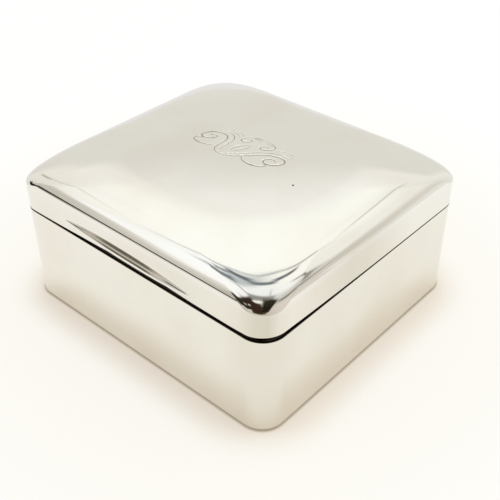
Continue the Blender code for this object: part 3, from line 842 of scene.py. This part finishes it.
def lid_ring(inset, shell=0.0):
    """The lid's ring at an inset: its corners grow rounder until it is a circle."""
    half_x, half_y = WIDTH / 2 - shell, DEPTH / 2 - shell
    share = inset / half_y
    across = half_y * (1 - share)
    along = half_x - inset - (half_x - half_y) * share ** 2
    roundness = 1 - (1 - (CORNER_RADIUS - shell) / half_y) * (1 - share) ** CORNER_SPREAD
    return ring(along, across, across * roundness, lid_height(inset, shell))


def lid_insets(shell, roll_rings, crown_rings):
    """Insets of the rings, close together where the roll is steep."""
    run, last = ROLL_RUN - shell, (DEPTH / 2 - shell) * CROWN_END
    roll = [run * (1 - math.cos(math.pi / 2 * step / roll_rings)) for step in range(roll_rings + 1)]
    return roll + [run + (last - run) * step / crown_rings for step in range(1, crown_rings + 1)]


print("places round a ring", len(hang), "top of the lid", round(lid_height(DEPTH / 2) / MM, 2), "mm")

# %% [markdown]
# A hand-raised lid isn't a perfect surface. Long shallow waves of about a hundredth of a millimetre
# bend the reflections a little, the lid sits a touch higher at its right front corner,
# and a century of thumbs has worn its lower edge. All three are small moves of the finished rings.

# %% Lid shell
RACK = 0.23 * MM
# How high the wear reaches above the edge, in mm
WEAR_REACH = 2.4


def round_about(places):
    """A function that reads off, in the direction of (x, y), a value given at places round the box."""
    turns, values = zip(*sorted((math.atan2(y_at, x_at), value) for x_at, y_at, value in places))
    return lambda x, y: np.interp(np.arctan2(y, x), turns, values, period=2 * math.pi)


# How far the worn edge stands above the true line, in mm, at places round the lid
edge_wear = round_about([
    (-44, -41, -0.50), (-36.5, -41, -0.37), (-29, -41, -0.21), (-23.5, -41, -0.05), (-17, -41, 0.24),
    (-10.6, -41, 0.44), (-4, -41, 0.84), (2.3, -41, 1.04), (8.7, -41, 0.78), (15, -41, 0.42),
    (22, -41, 0.06), (28, -41, -0.02), (34, -41, -0.09), (39, -40.5, 0.08), (42, -39, 0.26),
    (43.5, -35, 0.24), (44, -28, 0.0), (44, -21, -0.18), (44, -14, -0.28), (44, -6, -0.36), (44, 4, -0.40),
    (44, 18, -0.32), (44, 32, -0.22), (20, 41, 0.0), (-20, 41, 0.0), (-44, 30, -0.14), (-44, 0, -0.22),
    (-44, -25, -0.38),
])
WAVES = [(31, 47, 0.9, 0.010), (-53, 27, 2.3, 0.008), (19, -71, 4.0, 0.004)]


def hand_raised(points):
    """Long shallow waves, deepest on the crown, the lid's slight rack and its worn edge."""
    x, y, z = points[..., 0] / MM, points[..., 1] / MM, points[..., 2] / MM
    wave = sum(depth * np.sin(2 * math.pi * (x / along + y / across) + phase)
               for along, across, phase, depth in WAVES)
    crown_share = np.clip((z - (ROLL_START / MM + 1)) / 5, 0, 1)
    front_share = (HINGE_AXIS.y - points[..., 1]) / (HINGE_AXIS.y + DEPTH / 2)
    near_edge = np.clip((LID_EDGE / MM + WEAR_REACH - z) / WEAR_REACH, 0, 1) ** 2
    points[..., 2] += wave * crown_share * MM + RACK * points[..., 0] / (WIDTH / 2) * front_share
    points[..., 2] += edge_wear(x, y) * near_edge * MM
    return points


def wall_ring(inset, level):
    """A ring of the upright wall."""
    return ring(WIDTH / 2 - inset, DEPTH / 2 - inset, CORNER_RADIUS - inset, level)


# The wall's section runs down the outer face, round the edge and up inside; the roll takes over at its top
rim = eased([(0.0, ROLL_START, 0.001 * MM), (0.0, LID_EDGE, 0.16 * MM), (SHEET, LID_EDGE, 0.14 * MM),
             (SHEET, ROLL_START, 0.001 * MM)])
rim = [(inset, level) for inset, level in rim if level < ROLL_START - 0.1 * MM]
rings = [lid_ring(inset) for inset in lid_insets(0.0, 44, 40)[::-1]]
rings += [wall_ring(inset, level) for inset, level in rim]
rings += [lid_ring(inset, SHEET) for inset in lid_insets(SHEET, 16, 10)]
lid_shell = loft("lid_shell", hand_raised(np.array(rings)), silver)
print("rim points", len(rim), "rings", len(rings))

# %% [markdown]
# The lid is engraved with a small scroll. An engraver pushes a V-shaped graver, which cuts wide and deep
# where the stroke swells and runs out to a hair at its ends.
# So each stroke is a row of small triangles that point down into the silver, and a Boolean cuts them out.
# The scroll is drawn for one half and mirrored, so both halves match.

# %% Engraved scroll
SCROLL = [
    (0.44, [(0, -5.6), (4.6, -5.4), (4.2, -0.6), (6.6, 1.4), (8.8, 3.2), (12.2, 2.4), (12.0, -0.4),
            (11.7, -2.4), (8.4, -2.6), (8.2, -0.6), (8.1, 0.8), (10.1, 0.9), (10.2, -0.2)]),
    (0.26, [(0.6, -4.3), (3.3, -3.9), (3.0, 0.2), (5.6, 2.3), (7.1, 3.6), (9.0, 3.9), (10.5, 3.2)]),
    (0.36, [(0, 6.2), (2.4, 6.2), (4.7, 5.4), (4.4, 3.5), (4.1, 2.0), (1.8, 2.0), (1.9, 3.5),
            (2.0, 4.5), (3.3, 4.5), (3.2, 3.6)]),
    (0.24, [(0, 5.4), (1.4, 5.3), (2.4, 5.6), (3.3, 5.0)]),
    (0.34, [(3.9, -3.0), (5.6, -5.0), (9.2, -5.4), (10.7, -3.8), (11.7, -2.6), (10.0, -1.6), (9.5, -2.9)]),
    (0.22, [(4.6, -3.6), (6.2, -4.8), (8.4, -5.0), (9.8, -4.0)]),
    (0.32, [(0, -2.8), (1.4, -1.2), (1.2, 0.4), (0, 2.2)]),
    (0.20, [(4.9, 4.0), (6.4, 5.4), (8.3, 5.8), (9.8, 5.0)]),
    (0.20, [(5.2, 3.2), (6.8, 4.5), (8.8, 4.9), (10.6, 4.1)]),
]
SCROLL_CENTRE = (0.25 * MM, 0.6 * MM)
SCROLL_SIZE = 1.1
STROKE_WEIGHT = 1.25
# The scroll leans like handwriting: this much to the right for each step up
SCROLL_LEAN = 0.45
GROOVE_DEPTH_SHARE = 0.55
LIFT = 0.05 * MM


def bezier(points, steps=16):
    """Points along a chain of cubic curves, given as first point, then three more for each curve."""
    line = [np.array(points[0], float)]
    for start in range(0, len(points) - 1, 3):
        a, b, c, d = [np.array(point, float) for point in points[start:start + 4]]
        for t in np.arange(1, steps + 1) / steps:
            line.append(a * (1 - t) ** 3 + 3 * b * t * (1 - t) ** 2 + 3 * c * t * t * (1 - t) + d * t ** 3)
    return np.array(line)


lid_face = BVHTree.FromObject(lid_shell, bpy.context.evaluated_depsgraph_get())


def crown_height(x, y):
    """Height of the lid's own surface above a place."""
    return lid_face.ray_cast(Vector((x, y, 0.1)), Vector((0, 0, -1)))[0].z


def stroke_rings(width, line, side):
    """Triangles along one stroke, widest at its middle."""
    line = line * (side * SCROLL_SIZE * MM, SCROLL_SIZE * MM)
    line = line + line[:, 1:] * (SCROLL_LEAN, 0) + SCROLL_CENTRE
    along = np.gradient(line, axis=0)
    along /= np.linalg.norm(along, axis=1)[:, None]
    triangles = []
    for number, (point, heading) in enumerate(zip(line, along)):
        swell = 0.5 + 0.5 * math.sin(math.pi * number / (len(line) - 1))
        half, deep = width * swell * MM / 2, width * swell * GROOVE_DEPTH_SHARE * MM / 2
        sideways = np.array((-heading[1], heading[0])) * half * (deep + LIFT) / deep
        level = crown_height(*point)
        triangles.append([(*(point + sideways), level + LIFT), (*(point - sideways), level + LIFT),
                          (*point, level - deep)])
    return triangles


strokes = [loft("stroke", stroke_rings(width * STROKE_WEIGHT, bezier(points), side), silver)
           for width, points in SCROLL for side in (1, -1)]
# One small pit from a knock, a little off the scroll
PIT = (21.7 * MM, -4.4 * MM)
PIT_REACH = 0.45 * MM
PIT_SECTION = [(0.38, 0.2), (0.31, -0.03), (0.16, -0.18)]
pit = loft("pit", turned(PIT_SECTION, 16, (*PIT, crown_height(*PIT))), silver)
scroll_cutter = one_cutter("scroll_cutter", strokes + [pit])
print("strokes", len(strokes), "cutter faces", len(scroll_cutter.data.polygons))

# %% Cut and place the lid
cut(lid_shell, channel, wedge, scroll_cutter)
lid_shell.modifiers["scroll_cutter"].use_self = True
settle(lid_shell, silver)

# A thin film on the lid's walls, tarnish that also paints the dimmer reflections at the front right corner
# and on the right side: how much, at places round the lid
lid_film_and_painted_dimming = round_about([
    (-44, -41, 0.01), (8, -41, 0.02), (17, -41, 0.07), (25, -41, 0.04), (31, -41, 0.02), (36, -40.5, 0.05),
    (40.5, -40, 0.19), (42.5, -38, 0.21), (44, -35.5, 0.06), (44.5, -32, 0.0), (44.5, -28, 0.03),
    (44.5, -22, 0.07), (44.5, -16, 0.11), (44.5, -10, 0.15), (44.5, -3, 0.15), (44.5, 2, 0.11),
    (44.5, 9, 0.05), (44.5, 16, 0.01), (44, 36, 0.01), (-44, 36, 0.0),
])
# The lid's lower edge faces into the seam, so its black is painted shade with some tarnish; the cuts and the
# pit hold tarnish
LID_EDGE_SHADE_AND_TARNISH, GROOVE_TARNISH, PIT_TARNISH = 0.95, 0.78, 0.98
SCROLL_REACH = 24 * MM


def lid_tarnish_and_shade(place, facing):
    """Painted shade with some tarnish along the edge and inside, black tarnish in the pit, grey tarnish in
    the cuts, and a film on the walls that also paints dimmer reflections.
    """
    if place.z < LID_EDGE + 1.2 * MM and facing.z < 0:
        inside = faces_inward(place, facing)
        return max(LID_EDGE_SHADE_AND_TARNISH * rising(facing.z, -0.05, -0.4), INSIDE_SHADE_AND_TARNISH if inside else 0.0)
    if facing.z < -0.02 or faces_inward(place, facing, 0.01 * MM) and place.z < ROLL_START:
        return INSIDE_SHADE_AND_TARNISH
    below = crown_height(place.x, place.y) - place.z if math.hypot(place.x, place.y) < SCROLL_REACH else 0.0
    in_pit = math.hypot(place.x - PIT[0], place.y - PIT[1]) < PIT_REACH
    film_and_painted_dimming = float(lid_film_and_painted_dimming(place.x, place.y)) * rising(place.z, ROLL_START + 4.5 * MM, ROLL_START + 0.8 * MM)
    return max(rising(below, 0.0, 0.08 * MM) * (PIT_TARNISH if in_pit else GROOVE_TARNISH), film_and_painted_dimming)


blacken(lid_shell, lid_tarnish_and_shade)
rest_open(lid_shell)
place_on(lid_shell, "lid", "silver", "lid_cover")

# %% [markdown]
# The thumbpiece is a small lens of silver soldered on the lid's front.
# Its lip catches the thumb, and above the lip its face leans back to the wall in a shallow cove.
# Each section is the same outline, made smaller towards the tips.

# %% Thumbpiece
THUMB_LENGTH = 45.0 * MM
THUMB_OFFSET = -1.5 * MM
THUMB_MIDDLE = 2.4 * MM
THUMB_LEAN = -0.5 * MM
THUMB_SINK = 0.25 * MM
CREASE = 3.92
# Painted shade and reflection on the thumbpiece: how far the crease's shade spreads in mm, where the painted
# dark line grows stronger, and the facing at which it lies
CREASE_WIDTH = 0.22
UPPER_STEP = 3.1
MIRRORED_LINE_FACING = 0.476
MIRRORED_LINE_WIDTH = 0.05
# The outline in mm: how far it stands off the wall, how high, and the radius of each corner
THUMB_SECTION = [
    (-THUMB_SINK / MM, 4.50, 0.001), (0.004, 4.48, 0.02), (0.08, CREASE, 0.40), (0.46, 3.216, 0.30),
    (0.686, 2.895, 0.20), (0.95, 2.408, 0.08), (0.95, 1.655, 0.10), (0.12, 1.08, 0.05),
    (-THUMB_SINK / MM, 1.02, 0.001),
]
# How full the face was filed, against that outline, at places across it in mm
FILED = ((-13, -7, 3, 9, 14), (0.91, 1.0, 1.0, 1.07, 1.10))
thumb_outline = eased([(off * MM, high * MM, radius * MM) for off, high, radius in THUMB_SECTION],
                      steps=6, support=0.02 * MM, longest=0.2 * MM)
thumb_rings = []
for turn in np.linspace(0, math.pi, 121):
    fullness = max(math.sin(turn), 0.02)
    share = -math.cos(turn)
    middle_height = LID_EDGE + THUMB_MIDDLE + THUMB_LEAN * share
    x = THUMB_OFFSET + share * THUMB_LENGTH / 2
    # The face was filed by hand: steeper towards the left tip, flatter towards the right one
    reach = fullness * float(np.interp(x / MM, *FILED))
    thumb_rings.append([(x, -DEPTH / 2 - (proud * reach if proud > 0 else proud),
                         middle_height + (rise - THUMB_MIDDLE) * fullness) for proud, rise in thumb_outline])
thumb_lip = loft("thumb_lip", thumb_rings, silver)
for vertex in thumb_lip.data.vertices:
    vertex.co.z += RACK * vertex.co.x / (WIDTH / 2)


def thumb_painted_reflection_and_shade(place, facing):
    """Painted reflection and shade: the cove above the lip is darkened, most in its middle, with a painted
    dark reflected line, and the crease at the wall gets painted shade.
    """
    along = (place.x - THUMB_OFFSET) / (THUMB_LENGTH / 2)
    middle_share = max(0.0, 1 - (along * 1.5) ** 2)
    level = place.z - LID_EDGE - THUMB_MIDDLE - THUMB_LEAN * along - RACK * place.x / (WIDTH / 2)
    rise = (THUMB_MIDDLE + level / math.sqrt(max(1 - along ** 2, 0.0004))) / MM
    # The whole cove is darkened a little, most in its middle, as a painted dimmer reflection
    cove = rising(facing.z, 0.2, 0.45) if facing.y < 0 else 0.0
    # The cove gets a painted dark reflected line where it is steepest, and most of all above its upper step
    mirrored_line = 1 - min(abs(facing.z - MIRRORED_LINE_FACING) / MIRRORED_LINE_WIDTH, 1.0)
    depth = 0.5 if rise > UPPER_STEP else 0.3
    # Painted shade along the crease where the lip's face meets the wall
    crease = 1 - min(abs(rise - CREASE) / CREASE_WIDTH, 1.0)
    return max(cove * (0.05 + 0.16 * middle_share) + depth * mirrored_line * middle_share,
               crease * (0.12 + 0.43 * middle_share))


blacken(thumb_lip, thumb_painted_reflection_and_shade)
rest_open(thumb_lip)
place_on(thumb_lip, "lid", "silver", "thumbpiece")
print("thumbpiece sections", len(thumb_rings))

# %% [markdown]
# The hinge is five short tubes on one pin: three belong to the case and two to the lid.
# Geometry Nodes repeat one tube along the axis. Each tube is a small rounded section swept round a circle.

# %% Knuckles
KNUCKLE_GAP = 0.12 * MM
TUBE_WALL = 0.7 * MM
tubes, given = new_tree("knuckle_row", {"Int": ["Count"], "Vector": ["Start"],
                                        "Float": ["Pitch", "Radius", "Wall", "Length", "Edge radius"]})
middle_radius = add(tubes, "Math", {0: given["Wall"], 1: -0.5, 2: given["Radius"]}, operation="MULTIPLY_ADD")
hoop = add(tubes, "GeometryNodeCurvePrimitiveCircle", {0: CIRCLE_FINE, 4: middle_radius}, mode="RADIUS")
section = rounded_oblong(tubes, given["Wall"], given["Length"], given["Edge radius"], EDGE_FINE)
tube = add(tubes, "GeometryNodeCurveToMesh", {0: hoop, 1: section})
tube = add(tubes, "GeometryNodeTransform", {0: tube, 2: (0, math.pi / 2, 0)})
step_along = add(tubes, "CombineXYZ", {0: given["Pitch"]})
row = add(tubes, "GeometryNodeMeshLine", {0: given["Count"], 2: given["Start"], 3: step_along}, mode="OFFSET")
row = add(tubes, "GeometryNodeInstanceOnPoints", {0: row, 2: tube})
end_tree(tubes, row, silver)

KNUCKLES = 5
pitch = (HINGE_LENGTH + FIT) / KNUCKLES
for body, first in (("base", 1), ("lid", 2)):
    nodes = [f"{body}_knuckle_{number}" for number in range(first, KNUCKLES + 1, 2)]
    start = -HINGE_LENGTH / 2 + (first - 0.5) * pitch - FIT / 2
    row = grow(f"{body}_knuckles", tubes, {
        "Count": len(nodes), "Pitch": 2 * pitch, "Start": (start, HINGE_AXIS.y, HINGE_AXIS.z),
        "Radius": KNUCKLE_RADIUS, "Wall": TUBE_WALL, "Length": pitch - KNUCKLE_GAP, "Edge radius": 0.08 * MM,
    }, silver)
    place_on(row, body, "silver", *nodes)
    print(row.name, len(nodes))

# %% [markdown]
# Boards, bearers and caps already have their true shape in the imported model.
# They only lack the softened edges that a plane, a file or a thumb gives.
# A copy of each is merged to clean faces and gets a small bevel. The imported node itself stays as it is.

# %% Softened copies
def softened(node, radius, finish, segments=3):
    """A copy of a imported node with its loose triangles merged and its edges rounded."""
    shape = bmesh.new()
    shape.from_mesh(frame["nodes"][node].data)
    bmesh.ops.remove_doubles(shape, verts=shape.verts, dist=0.002 * MM)
    bmesh.ops.dissolve_limit(shape, angle_limit=math.radians(0.5), verts=shape.verts, edges=shape.edges)
    piece = piece_from(f"{node}_finished", shape, finish)
    bevel = piece.modifiers.new("softened", "BEVEL")
    bevel.width = radius
    bevel.segments = segments
    bevel.limit_method = "ANGLE"
    bevel.angle_limit = SHARP
    return settle(piece, finish)


# %% [markdown]
# Cigarette boxes are lined with Spanish cedar, sawn thin and left bare so that its scent comes through.
# The eye sees a dry red-brown, straight stripes about a millimetre wide, and fine dark pores
# drawn out along the grain.
# The same recipe in darker tones is the mahogany bottom board.

# %% Wood
def bare_wood(name, pale, deep, pore, turn):
    """Straight-grained planed wood; turn is the grain's direction in degrees from X."""
    finish, tree, where = new_finish(name)
    facing = add(tree, "Mapping", {0: where, 2: (0, 0, math.radians(-turn))})
    # Stripes: 1.2 mm across and some 25 mm along
    drawn_out = add(tree, "Mapping", {0: facing, 3: (40, 820, 820)})
    stripes = add(tree, "TexNoise", {0: drawn_out, 2: 1.0, 3: 4.0, 4: 0.6, 8: 0.6})
    figure = add(tree, "MapRange", {0: stripes, 1: 0.36, 2: 0.66})
    body_tone = add(tree, "Mix", {0: figure, 6: tone(deep), 7: tone(pale)}, **MIXED)
    # Pores: 0.2 mm across and 3 mm along
    fine = add(tree, "Mapping", {0: facing, 3: (330, 5000, 5000)})
    pores = add(tree, "TexNoise", {0: fine, 2: 1.0, 3: 1.0})
    pored = add(tree, "MapRange", {0: pores, 1: 0.60, 2: 0.70, 4: 0.55})
    colour = add(tree, "Mix", {0: pored, 6: body_tone, 7: tone(pore)}, **MIXED)
    rough = add(tree, "MapRange", {0: stripes, 1: 0.3, 2: 0.7, 3: 0.72, 4: 0.56})
    relief = add(tree, "Bump", {"Strength": 0.35, "Distance": 0.04 * MM, "Height": pored}, invert=True)
    dress(tree, {"Base Color": colour, "Roughness": rough, "Normal": relief})
    return finish


cedar_along_x = bare_wood("spanish_cedar_along_x", "#B9825A", "#8F5536", "#5A3220", 0)
cedar_along_y = bare_wood("spanish_cedar_along_y", "#B68058", "#8C5334", "#5A3220", 90)
mahogany = bare_wood("mahogany_board", "#6A3B28", "#4A2418", "#2C140D", 0)
LINING_EDGE, BOARD_EDGE = 0.25 * MM, 0.2 * MM
for body, lining, level_board in (("base", "lining", "floor"), ("lid", "lid_lining", "panel")):
    for side in (level_board, "front", "back", "left", "right"):
        cedar = cedar_along_y if side in ("left", "right") else cedar_along_x
        node = f"{lining}_{side}"
        place_on(softened(node, LINING_EDGE, cedar), body, "cedar", node)
place_on(softened("base_board", BOARD_EDGE, mahogany), "base", "board_wood", "base_board")

# %% Hinge strips, pin and caps
FILED_EDGE = 0.08 * MM
for node, body in (("base_hinge_bearer", "base"), ("lid_hinge_bearer", "lid"), ("hinge_cap_left", "base"),
                   ("hinge_cap_right", "base"), ("hinge_pin", "base")):
    place_on(softened(node, FILED_EDGE, silver), body, "silver", node)

# %% [markdown]
# A pad of thin dark hide is glued under the board, so that the box doesn't scratch the table.
# Hide has a pebbled grain with creases about half a millimetre apart.

# %% Hide pad
hide, leather, where = new_finish("dyed_goat_hide")
pebbles = add(leather, "TexVoronoi", {0: where, 2: 1600.0}, "Distance", feature="DISTANCE_TO_EDGE")
grain = add(leather, "MapRange", {0: pebbles, 1: 0.0, 2: 0.25})
dye = add(leather, "TexNoise", {0: where, 2: 90.0, 3: 3.0})
dyed = add(leather, "Mix", {0: dye, 6: tone("#35241A"), 7: tone("#513A2C")}, **MIXED)
creased = add(leather, "Mix", {0: grain, 6: tone("#1D120D"), 7: dyed}, **MIXED)
dull = add(leather, "MapRange", {0: grain, 3: 0.8, 4: 0.55})
pebbled = add(leather, "Bump", {"Strength": 0.5, "Distance": 0.08 * MM, "Height": grain})
dress(leather, {"Base Color": creased, "Roughness": dull, "Normal": pebbled})
PARED_EDGE = 0.3 * MM
pad = softened("underside_pad", PARED_EDGE, hide)
place_on(pad, "base", "hide", "underside_pad")

# %% [markdown]
# Eight small brass pins hold the board to the flange. They are turned, countersunk and filed nearly level.
# Geometry Nodes set one pin at the corners of two rectangles, which are the eight places.

# %% Brass pins
brass, metal, where = new_finish("turned_brass")
stain = add(metal, "TexNoise", {0: where, 2: 900.0, 3: 3.0})
stained = add(metal, "Mix", {0: stain, 6: tone("#D9B36A"), 7: tone("#A9803F")}, **MIXED)
filed = add(metal, "MapRange", {0: stain, 1: 0.3, 2: 0.7, 3: 0.24, 4: 0.42})
dress(metal, {"Metallic": 1.0, "Base Color": stained, "Roughness": filed})

PIN_SECTION = [(0.01, 0.5), (0.7, 0.5), (0.93, 0.53), (1.0, 0.6), (0.5, 1.1), (0.5, 3.3), (0.35, 3.45),
               (0.01, 3.5)]
one_pin = loft("one_pin", turned(PIN_SECTION, 24), brass)
pins, given = new_tree("flange_pins", {"Float": ["Line width", "Line depth", "Spread"], "Object": ["Pin"]})
narrow = add(pins, "Math", {0: given["Line width"], 1: given["Spread"]}, operation="MULTIPLY")
shallow = add(pins, "Math", {0: given["Line depth"], 1: given["Spread"]}, operation="MULTIPLY")
first = add(pins, "GeometryNodeCurvePrimitiveQuadrilateral", {0: given["Line width"], 1: shallow})
second = add(pins, "GeometryNodeCurvePrimitiveQuadrilateral", {0: narrow, 1: given["Line depth"]})
places = add(pins, "GeometryNodeJoinGeometry", {0: first})
connect(pins, places.node, {0: second})
one = add(pins, "GeometryNodeObjectInfo", {0: given["Pin"]}, "Geometry")
planted = add(pins, "GeometryNodeInstanceOnPoints", {0: places, 2: one})
end_tree(pins, planted, brass)
flange_pins = grow("flange_pins", pins, {
    "Line width": 2 * pin_x, "Line depth": 2 * pin_y, "Spread": PIN_SPREAD, "Pin": one_pin,
}, brass)
place_on(flange_pins, "base", "pin_brass", *[f"flange_pin_{number}" for number in range(1, 9)])

# %% [markdown]
# The shapes that only cut or guide others aren't part of the box, so they are taken away.

# %% Clear the helpers
for helper in [thing for thing in bpy.context.scene.objects if thing.type == "CURVE"] + [
        channel, wedge, scroll_cutter, pin_holes, one_pin]:
    bpy.data.objects.remove(helper)
